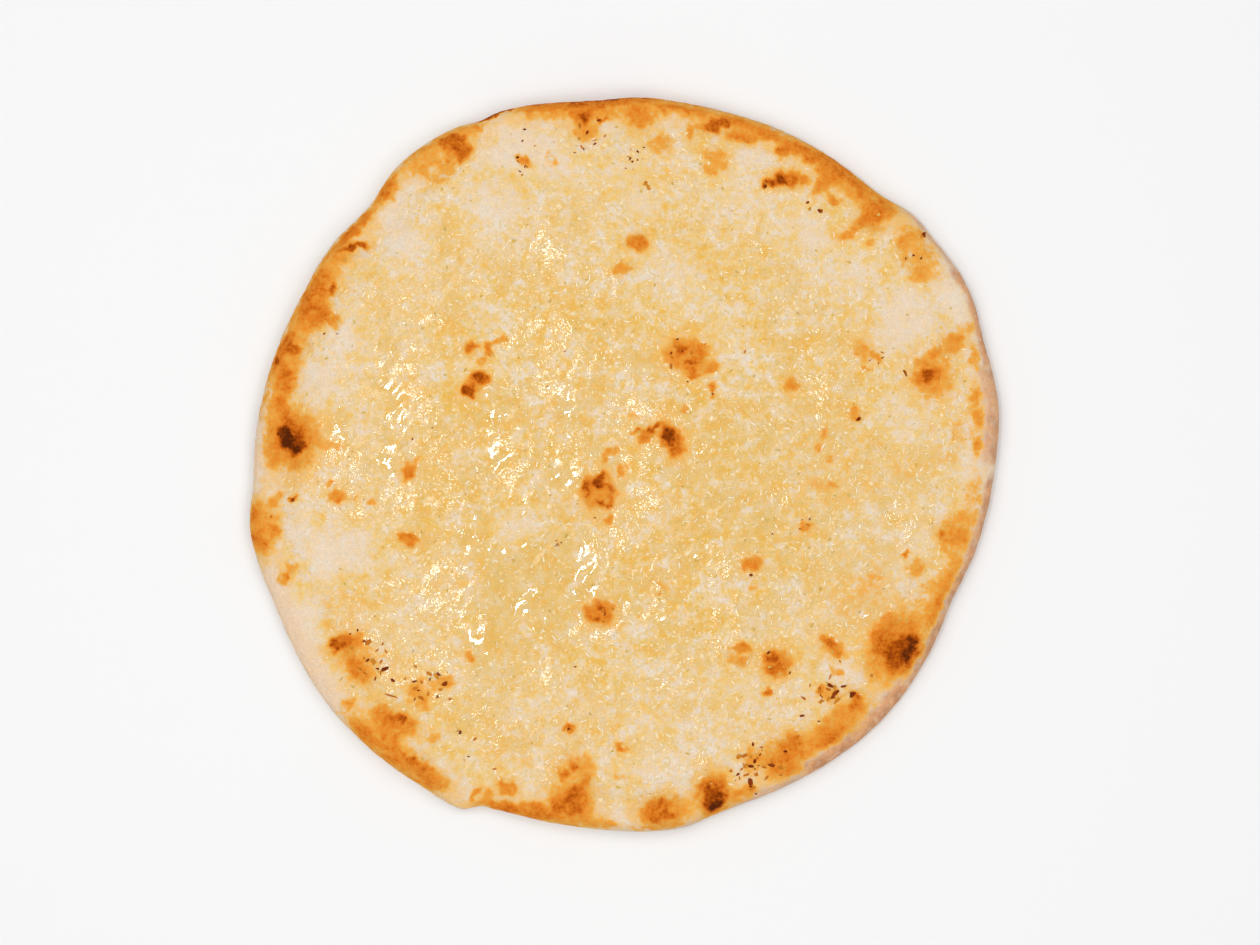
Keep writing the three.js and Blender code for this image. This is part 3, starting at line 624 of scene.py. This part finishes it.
def oil_level(x, y):
    """Where the oil's surface stands: just over the dough's smooth form, with ripples drawn out along one
    heading and fainter fine ones, both higher in the pools. It is sunk into the dough where that is dry or
    browned, and near the rim."""
    pools = pooled(x, y)
    u, v = turned_round(x, y, 0, 0, 1.8, 1, 58)
    ripples = 0.34 * ripple(u, v, 4.4, 61) + 0.05 * ripple(x, y, 2.1, 62)
    sunk = (1.6 * dryness(x, y) + 0.4 * between(browning(x, y), 0.3, 0.6)
            + 0.5 - 0.5 * between(inside_outline(x, y), 14, 28))
    return top_height(x, y) + OIL_RISE + POOL_RISE * pools + (0.5 + 0.5 * pools) * ripples - sunk


def dough_level(x, y):
    return top_height(x, y) + dough_lumps(x, y)


def film_piece():
    """The oil film: rings from the middle out, on the oil's level, closed by a flat underside inside the
    dough. Its field depth is how far it stands over the dough, in millimetres. The other two say how dark
    the dough is there and how far the oil has pooled."""
    counts, xs, ys, zs = [], [], [], []
    for k in range(FILM_RINGS + 1):
        x, y = ring_inside(max(1, 6 * k), k / FILM_RINGS, FILM_EDGE_IN)
        counts.append(len(x))
        xs.append(x)
        ys.append(y)
        zs.append(oil_level(x, y))
    for count, share in FILM_BASE_RINGS:
        x, y = ring_inside(count, share, FILM_EDGE_IN)
        counts.append(count)
        xs.append(x)
        ys.append(y)
        zs.append(np.full(count, float(FILM_FLOOR)))
    x, y, z = (np.concatenate(part) for part in (xs, ys, zs))
    fields = {"depth": z - dough_level(x, y), "browned": browning(x, y), "pooled": pooled(x, y)}
    return put_in_mesh("oil_film", np.stack([x, y, z], axis=1), ring_faces(counts), fields)


def pebble():
    """A flat pebble: a point on top, a ring of five round its crown, a wider one below and a point
    underneath."""
    angle = ring_angles(5)
    ring = np.stack([np.cos(angle), np.sin(angle), 0 * angle], axis=1)
    points = np.concatenate([[(0, 0, 1)], 0.6 * ring + (0, 0, 0.8), ring - (0, 0, 0.6), [(0, 0, -1)]])
    return points, ring_faces([1, 5, 5, 1])


def flake():
    """A thin leaf: an outline with a point at each end, and a raised and a lowered middle."""
    angle = ring_angles(8)
    narrowed = np.sin(angle) * (0.75 + 0.25 * np.abs(np.sin(angle)))
    outline = np.stack([np.cos(angle), narrowed, 0 * angle], axis=1)
    points = np.concatenate([outline, [(0, 0, 1), (0, 0, -1)]])
    faces = [(k, (k + 1) % 8, 8) for k in range(8)] + [((k + 1) % 8, k, 9) for k in range(8)]
    return points, np.array(faces)


def strewn(name, shape, x, y, z, sizes, heading, uneven, tones):
    """Many copies of a small shape in one mesh: each is scaled by its half length, half width and half
    height, shaken at every point by a share of its size, turned to its heading and put down."""
    points, faces = shape
    count, corners = len(x), len(points)
    which = np.arange(count)[:, None] * np.ones(corners, int)[None]
    corner = np.arange(corners)[None] + 0 * which
    shaken = [1 + uneven * (2 * cell_random(which, corner, 70 + k) - 1) for k in range(3)]
    px, py, pz = (points[None, :, k] * sizes[:, k, None] * shaken[k] for k in range(3))
    c, s = np.cos(heading)[:, None], np.sin(heading)[:, None]
    placed = np.stack([x[:, None] + px * c - py * s, y[:, None] + px * s + py * c, z[:, None] + pz], axis=2)
    all_faces = faces[None] + corners * np.arange(count)[:, None, None]
    fields = {"tone": np.repeat(tones, corners)}
    return put_in_mesh(name, placed.reshape(-1, 3), all_faces.reshape(-1, 3), fields, False)


def jittered(spacing, seed, edge_in):
    """One point in each square of a grid, moved at random inside it, with four more random numbers for
    each; those nearer to the outline than a distance are left out."""
    steps = np.arange(-160 // spacing, 160 // spacing + 1)
    i, j = (part.ravel() for part in np.meshgrid(steps, steps))
    draws = [cell_random(i, j, seed + k) for k in range(6)]
    x, y = (i + draws[0]) * spacing, (j + draws[1]) * spacing
    kept = inside_outline(x, y) > edge_in
    return x[kept], y[kept], [draw[kept] for draw in draws[2:]]


def spread(draw, low_high):
    low, high = low_high
    return low + (high - low) * draw


def garlic_piece():
    """Minced garlic: flat pebbles over the oiled middle, thinned out where it is dry or browned, sunk by
    half. One in three is a shred, longer, narrow and paler; the shreds' pale colour is partly painted
    highlight, drawing the oil's curled glints."""
    x, y, (a, b, c, d) = jittered(GARLIC_SPACING, 80, 9)
    bare = np.maximum(between(dryness(x, y), 0.05, 0.85), between(browning(x, y), 0.1, 0.3))
    kept = a > 0.05 + 0.95 * bare
    x, y, a, b, c, d = (part[kept] for part in (x, y, a, b, c, d))
    shred = c > 1 - SHRED_SHARE
    half = spread(b**1.6, GARLIC_SIZE) / 2 * np.where(shred, 1.25, 1)
    width = half * np.where(shred, SHRED_WIDTH, spread(c / (1 - SHRED_SHARE), (0.45, 0.9)))
    sizes = np.stack([half, width, 0.12 + half * 0.06], axis=1)
    z = np.maximum(dough_level(x, y), oil_level(x, y)) - GARLIC_SUNK + 0.05 * shred
    # Shreds take the palest tone, which is partly painted highlight.
    return strewn("minced_garlic", pebble(), x, y, z, sizes, 2 * np.pi * d, 0.35, np.where(shred, -0.3, a))


def scatter(seed):
    """The part's own draw: the fraction of a large multiple of a sine."""
    n = math.sin(seed * 12.9898 + 4.1414) * 43758.5453
    return n - math.floor(n)


def herb_flecks():
    """The part's own flecks: in each drift a spiral by the golden angle, a little shaken."""
    golden_angle = math.pi * (3 - math.sqrt(5))
    rows = []
    for drift, (x, y, wide, count, longest) in enumerate(FLECK_DRIFTS):
        for i in range(count):
            seed = 100 * drift + i
            out = wide * math.sqrt((i + 0.5) / count) * (0.7 + 0.5 * scatter(seed))
            turn = i * golden_angle + 2 * math.pi * scatter(drift + 0.5)
            length = longest * (1 - 0.45 * scatter(seed + 0.25))
            heading = 2 * math.pi * scatter(seed + 0.75)
            rows.append((x + out * math.cos(turn), y + out * math.sin(turn), length, heading))
    return np.array(rows)


def green_flecks():
    """Dried herb that stayed green: small flecks strewn one to each square of a grid over the top."""
    x, y, (a, b, c, d) = jittered(GREEN_SPACING, 97, 8)
    rows = np.column_stack([x, y, spread(b * b, GREEN_LENGTH), 2 * np.pi * c, GREEN_TONE + 0.4 * d])
    return rows[a < GREEN_SHARE]


def herb_piece():
    """Herb flecks: thin uneven leaves on the dough or the oil, whichever is higher: the part's own,
    toasted, then those seen one by one, and those that stayed green."""
    own = herb_flecks()
    rows = np.concatenate([
        np.column_stack([own, np.full(len(own), OWN_TONE)]),
        [(x, y, length, math.radians(heading), 0) for x, y, length, heading in CHARRED_HERBS],
        [(x, y, length, math.radians(heading), TOASTED_TONE) for x, y, length, heading in TOASTED_HERBS],
        green_flecks(),
    ])
    x, y, length, heading, tone = rows.T
    which = np.arange(len(x))
    half = length * spread(cell_random(which, which, 92), (0.42, 0.6))
    width = FLECK_WIDTH * spread(cell_random(which, which, 91), (0.65, 1.6))
    width = width * np.where(length > STEM_LENGTH, 0.24, 1)
    sizes = np.stack([half, half * width, np.full_like(half, 0.25 * FLECK_THICKNESS)], axis=1)
    tones = tone + 0.3 * cell_random(which, which, 90)
    z = np.maximum(dough_level(x, y), oil_level(x, y)) + HERB_LIFT
    return strewn("herb_flecks", flake(), x, y, z, sizes, heading, 0.42, tones)


# ======== Materials ========

def feed(tree, node, inputs):
    """Gives a node's inputs numbers or colours of their own, or other nodes' outputs."""
    for socket, value in inputs.items():
        if isinstance(value, bpy.types.NodeSocket):
            tree.links.new(value, node.inputs[socket])
        else:
            node.inputs[socket].default_value = value


def add(tree, kind, inputs=None, **settings):
    """A node with its settings and inputs."""
    made = tree.nodes.new(kind)
    for name, value in settings.items():
        setattr(made, name, value)
    feed(tree, made, inputs or {})
    return made


def calculate(tree, operation, *values, clamp=False):
    inputs = dict(enumerate(values))
    return add(tree, "ShaderNodeMath", inputs, operation=operation, use_clamp=clamp).outputs[0]


def mixed(tree, share, first, second, blend="MIX"):
    """The second colour over the first, by a share."""
    made = add(tree, "ShaderNodeMix", {0: share, 6: first, 7: second}, data_type="RGBA", blend_type=blend)
    return made.outputs[2]


def eased(tree, value, low, high, to_low=0.0, to_high=1.0):
    inputs = {"Value": value, "From Min": low, "From Max": high, "To Min": to_low, "To Max": to_high}
    return add(tree, "ShaderNodeMapRange", inputs, interpolation_type="SMOOTHSTEP").outputs[0]


def colour_run(tree, value, stops):
    """A ramp of colours at places from 0 to 1."""
    made = add(tree, "ShaderNodeValToRGB", {0: value})
    run = made.color_ramp
    while len(run.elements) < len(stops):
        run.elements.new(0.5)
    for element, (place, colour) in zip(run.elements, stops):
        element.position = place
        element.color = (*colour, 1)
    return made.outputs[0]


def field(tree, name):
    return add(tree, "ShaderNodeAttribute", attribute_name=name, attribute_type="GEOMETRY").outputs["Fac"]


def weighted(tree, parts):
    """The sum of some grains, each less a half and times its share."""
    total = 0.0
    for share, value in parts:
        centred = calculate(tree, "SUBTRACT", value, 0.5)
        total = calculate(tree, "MULTIPLY_ADD", centred, share, total)
    return total


def grainy(tree, height, strength, distance):
    """A normal raised by a grain."""
    inputs = {"Strength": strength, "Distance": distance, "Height": height}
    return add(tree, "ShaderNodeBump", inputs).outputs[0]


def grain_group():
    """Fine grain for any finish: noise of a size in millimetres, from 0 to 1, with its contrast raised."""
    group = bpy.data.node_groups.new("grain", "ShaderNodeTree")
    for name, value in (("Size", 1.0), ("Contrast", 1.0), ("Detail", 2.0), ("Shift", 0.0)):
        group.interface.new_socket(name, in_out="INPUT", socket_type="NodeSocketFloat").default_value = value
    group.interface.new_socket("Grain", in_out="OUTPUT", socket_type="NodeSocketFloat")
    given = add(group, "NodeGroupInput").outputs
    place = add(group, "ShaderNodeTexCoord").outputs["Object"]
    moved = add(group, "ShaderNodeVectorMath", {0: place, 1: given["Shift"]}, operation="ADD").outputs[0]
    scale = calculate(group, "DIVIDE", 1 / MM, given["Size"])
    inputs = {"Vector": moved, "Scale": scale, "Detail": given["Detail"]}
    noise = add(group, "ShaderNodeTexNoise", inputs).outputs[0]
    centred = calculate(group, "SUBTRACT", noise, 0.5)
    raised = calculate(group, "MULTIPLY", centred, given["Contrast"])
    out = calculate(group, "ADD", raised, 0.5, clamp=True)
    group.links.new(out, add(group, "NodeGroupOutput").inputs[0])
    return group


GRAIN = grain_group()


def grain(tree, size, contrast=1.0, detail=2.0, shift=0.0):
    made = add(tree, "ShaderNodeGroup", node_tree=GRAIN)
    feed(tree, made, {"Size": size, "Contrast": contrast, "Detail": detail, "Shift": shift})
    return made.outputs[0]


def finish(name):
    """A new material's tree and its Principled shader."""
    material = bpy.data.materials.new(name)
    material.use_nodes = True
    return material, material.node_tree, material.node_tree.nodes["Principled BSDF"]


def dough_finish():
    """Baked dough: pale where dry, yellow where oiled, golden round the browned patches, toasted in them,
    floury on the rim, darker on its right side as painted shade, and stone-baked underneath, all with
    lighter and darker grain, part of which is painted light and shade of the fine relief."""
    material, tree, shader = finish("baked dough")
    toast, dry, flour, under = (field(tree, name) for name in ("browned", "dry", "floured", "underneath"))
    broad = grain(tree, 17, 2.4, 2, 1.7)
    patchy = grain(tree, 6.5, 2.6, 3, 3.1)
    lumpy = grain(tree, 2.8, 2.6, 2, 4.7)
    fine = grain(tree, 1.3, 2.8, 1, 5.3)
    finest = grain(tree, 0.7, 2.4, 1, 7.9)

    oiled = eased(tree, calculate(tree, "ADD", dry, weighted(tree, ((0.5, patchy),))), 0.05, 0.85, 0.58, 0.2)
    uneven = weighted(tree, ((0.55, broad), (1.0, patchy), (0.6, lumpy), (0.08, fine)))
    calmer = eased(tree, dry, 0.15, 0.9, 1, 0.32)
    yellow = calculate(tree, "MULTIPLY_ADD", uneven, calmer, oiled)
    base = colour_run(tree, yellow, (
        (0.0, (0.805, 0.685, 0.545)), (0.25, (0.81, 0.63, 0.43)), (0.5, (0.82, 0.59, 0.285)),
        (0.75, (0.82, 0.53, 0.17)), (1.0, (0.81, 0.46, 0.085)),
    ))
    rosy = grain(tree, 1.7, 2.6, 2, 9.3)
    base = mixed(tree, eased(tree, rosy, 0.5, 1.0, 0, 0.28), base, (0.86, 0.60, 0.40, 1))
    pits = eased(tree, grain(tree, 1.5, 3.0, 0, 13.9), 0.8, 0.95, 0, 0.55)
    pores = calculate(tree, "MULTIPLY", pits, eased(tree, oiled, 0.35, 0.6))
    base = mixed(tree, pores, base, (0.70, 0.50, 0.13, 1))

    ragged = weighted(tree, ((0.5, patchy), (0.4, lumpy)))
    golden = calculate(tree, "MULTIPLY_ADD", ragged, 0.3, field(tree, "warmed"))
    base = mixed(tree, eased(tree, golden, 0.08, 0.5, 0, 0.75), base, (0.84, 0.475, 0.12, 1))

    # The rim's floury stretches: pale flour on the left, and on the right side a darker brown that is
    # painted shade over the flour.
    flour_and_shade_share = calculate(tree, "MULTIPLY", flour, eased(tree, lumpy, 0.1, 0.7, 0.72, 1))
    place = add(tree, "ShaderNodeTexCoord").outputs["Object"]
    rightward = add(tree, "ShaderNodeSeparateXYZ", {0: place}).outputs[0]
    # Painted shade: the darker brown that the flour turns towards the right side.
    painted_shade_flour = mixed(tree, eased(tree, patchy, 0.2, 0.8), (0.57, 0.27, 0.13, 1), (0.72, 0.36, 0.18, 1))
    flour_with_painted_shade = mixed(tree, eased(tree, rightward, -0.03, 0.08), (0.84, 0.60, 0.40, 1), painted_shade_flour)
    base = mixed(tree, flour_and_shade_share, base, flour_with_painted_shade)

    strength = eased(tree, toast, 0.02, 0.32, 0.22, 1)
    speckle = weighted(tree, ((0.2, patchy), (0.18, lumpy), (0.15, fine), (0.11, finest)))
    shaken = calculate(tree, "MULTIPLY_ADD", speckle, strength, toast)
    toasted = colour_run(tree, calculate(tree, "DIVIDE", shaken, 1.25), (
        (0.0, (0.84, 0.535, 0.185)), (0.12, (0.84, 0.48, 0.125)), (0.23, (0.83, 0.395, 0.068)),
        (0.37, (0.80, 0.30, 0.036)), (0.51, (0.73, 0.205, 0.016)), (0.62, (0.56, 0.125, 0.006)),
        (0.74, (0.34, 0.06, 0.002)), (0.88, (0.10, 0.018, 0.002)),
    ))
    base = mixed(tree, eased(tree, shaken, 0.05, 0.3), base, toasted)
    # Painted light and shade of the dough's fine relief: a fine grain that makes the colour evenly lighter
    # and darker.
    shade = calculate(tree, "ADD", weighted(tree, ((0.04, lumpy), (0.065, fine), (0.105, finest))), 1.0)
    base = mixed(tree, 1.0, base, shade, "MULTIPLY")

    below = colour_run(tree, grain(tree, 12, 2.0, 5, 11.3), (
        (0.2, (0.78, 0.58, 0.34)), (0.48, (0.70, 0.43, 0.19)), (0.62, (0.52, 0.25, 0.08)),
        (0.78, (0.31, 0.11, 0.033)), (0.95, (0.14, 0.045, 0.014)),
    ))
    below = mixed(tree, eased(tree, patchy, 0.55, 1.0, 0, 0.55), below, (0.84, 0.74, 0.60, 1))
    base = mixed(tree, under, base, below)

    matte = calculate(tree, "MAXIMUM", calculate(tree, "MAXIMUM", dry, under), eased(tree, toast, 0.1, 0.4))
    matte = calculate(tree, "MAXIMUM", matte, flour)
    height = weighted(tree, ((1.0, lumpy), (0.5, fine), (0.25, finest)))
    feed(tree, shader, {
        "Base Color": base, "Roughness": eased(tree, matte, 0, 1, 0.42, 0.8), "Specular IOR Level": 0.03,
        "Normal": grainy(tree, height, 0.5, 0.0005),
    })
    return material


def oil_finish():
    """Garlic oil: clear yellow, more so where it is deep, and gone where it has run thin."""
    material, tree, shader = finish("garlic oil")
    broad = grain(tree, 7, 2.4, 3, 23.9)
    mottled = grain(tree, 2.4, 2.6, 2, 21.7)
    depth, pooled_oil = field(tree, "depth"), field(tree, "pooled")
    deep = calculate(tree, "ADD", depth, weighted(tree, ((0.25, mottled), (0.2, broad))))
    pools = eased(tree, pooled_oil, 0.2, 0.5)
    wet = calculate(tree, "MULTIPLY", pools, eased(tree, mottled, 0.2, 0.8, 0.2, 0.48))
    cover = calculate(tree, "MAXIMUM", eased(tree, deep, -0.1, 0.5, 0.0, 0.42), wet)
    calm = eased(tree, pooled_oil, 0.1, 0.4, 1, 0.12)
    uneven = calculate(tree, "MULTIPLY", grain(tree, 1.5, 2.4, 1, 27.1), calm)
    unbrowned = eased(tree, field(tree, "browned"), 0.1, 0.35, 1, 0.12)
    thin = calculate(tree, "MULTIPLY", unbrowned, eased(tree, depth, -0.05, 0.05))
    feed(tree, shader, {
        "Base Color": mixed(tree, broad, (1.0, 0.76, 0.28, 1), (1.0, 0.69, 0.16, 1)),
        "Roughness": eased(tree, pools, 0, 1, 0.13, 0.03), "IOR": 1.95,
        "Alpha": calculate(tree, "MULTIPLY", cover, thin), "Normal": grainy(tree, uneven, 0.3, 0.00025),
    })
    return material


def garlic_finish():
    """Minced garlic in oil: cream to golden from grain to grain, moist. The palest cream, on the shreds, is
    partly painted highlight.
    """
    material, tree, shader = finish("minced garlic")
    mottled = grain(tree, 0.8, 1.8, 2, 31.1)
    shade = calculate(tree, "ADD", field(tree, "tone"), weighted(tree, ((0.3, mottled),)))
    # The palest stop is for the shreds, and is partly painted highlight.
    colour = colour_run(tree, shade, (
        (0.0, (0.93, 0.81, 0.60)), (0.1, (0.88, 0.69, 0.40)), (0.4, (0.87, 0.64, 0.32)),
        (0.75, (0.85, 0.57, 0.22)), (1.0, (0.83, 0.51, 0.13)),
    ))
    feed(tree, shader, {
        "Base Color": colour, "Roughness": eased(tree, shade, 0.15, 0.4, 0.2, 0.65),
        "Specular IOR Level": 0.35, "Normal": grainy(tree, mottled, 0.3, 0.0002),
    })
    return material


def herb_finish():
    """Herb flecks: from charred nearly black through toasted brown to a dull green."""
    material, tree, shader = finish("baked herbs")
    mottled = grain(tree, 0.6, 2.2, 2, 41.3)
    shade = calculate(tree, "ADD", field(tree, "tone"), weighted(tree, ((0.25, mottled),)))
    colour = colour_run(tree, calculate(tree, "DIVIDE", shade, 2), (
        (0.0, (0.15, 0.018, 0.003)), (0.15, (0.27, 0.045, 0.004)), (0.32, (0.45, 0.11, 0.008)),
        (0.5, (0.62, 0.23, 0.02)), (0.62, (0.58, 0.32, 0.045)), (0.75, (0.62, 0.40, 0.075)),
        (1.0, (0.72, 0.52, 0.14)),
    ))
    feed(tree, shader, {
        "Base Color": colour, "Roughness": eased(tree, mottled, 0.2, 0.8, 0.6, 0.8),
        "Specular IOR Level": 0.05, "Normal": grainy(tree, mottled, 0.4, 0.0002),
    })
    return material


def floor_finish():
    material, tree, shader = finish("plain pale floor")
    feed(tree, shader, {"Base Color": (0.9, 0.9, 0.9, 1), "Roughness": 0.9, "Specular IOR Level": 0.1})
    return material


# ======== Floor, light and camera ========

def lay_floor():
    mesh = bpy.data.meshes.new("floor")
    signs = ((-1, -1), (1, -1), (1, 1), (-1, 1))
    corners = [(FLOOR_REACH * x, FLOOR_REACH * y, -FLOOR_DROP) for x, y in signs]
    mesh.from_pydata(corners, [], [(0, 1, 2, 3)])
    floor = bpy.data.objects.new("floor", mesh)
    floor.data.materials.append(floor_finish())
    bpy.context.scene.collection.objects.link(floor)


def softbox(name, place, size, watts):
    """A round lamp at a place, facing the bread."""
    lamp = bpy.data.lights.new(name, "AREA")
    lamp.shape = "DISK"
    lamp.size = size
    lamp.energy = watts
    holder = bpy.data.objects.new(name, lamp)
    x, y, z = place
    holder.location = place
    holder.rotation_euler = (math.atan2(math.hypot(x, y), z), 0, math.atan2(x, -y))
    bpy.context.scene.collection.objects.link(holder)


def set_light():
    world = bpy.data.worlds.new("room light")
    world.use_nodes = True
    background = world.node_tree.nodes["Background"]
    background.inputs["Color"].default_value = (1, 1, 1, 1)
    background.inputs["Strength"].default_value = ROOM_STRENGTH
    bpy.context.scene.world = world
    for lamp in LAMPS:
        softbox(*lamp)


def place_camera():
    view = bpy.data.cameras.new("camera")
    view.lens = LENS
    view.sensor_width = SENSOR
    holder = bpy.data.objects.new("camera", view)
    right = (PHOTO_SIZE[0] / 2 - MIDDLE_IN_PHOTO[0]) * PHOTO_STEP
    up = (MIDDLE_IN_PHOTO[1] - PHOTO_SIZE[1] / 2) * PHOTO_STEP
    away = PHOTO_SIZE[0] * PHOTO_STEP * LENS / SENSOR + CRUMB_HEIGHT
    holder.location = ((right - MIDDLE[0]) * MM, (up - MIDDLE[1]) * MM, away * MM)
    bpy.context.scene.collection.objects.link(holder)
    bpy.context.scene.camera = holder


place_camera()
set_light()
lay_floor()
bpy.context.scene.view_settings.view_transform = "Standard"

bread = dough_piece()
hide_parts("bread")
for piece, surface in (
    (bread, dough_finish()),
    (film_piece(), oil_finish()),
    (garlic_piece(), garlic_finish()),
    (herb_piece(), herb_finish()),
):
    piece.data.materials.append(surface)
    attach(piece, "root")
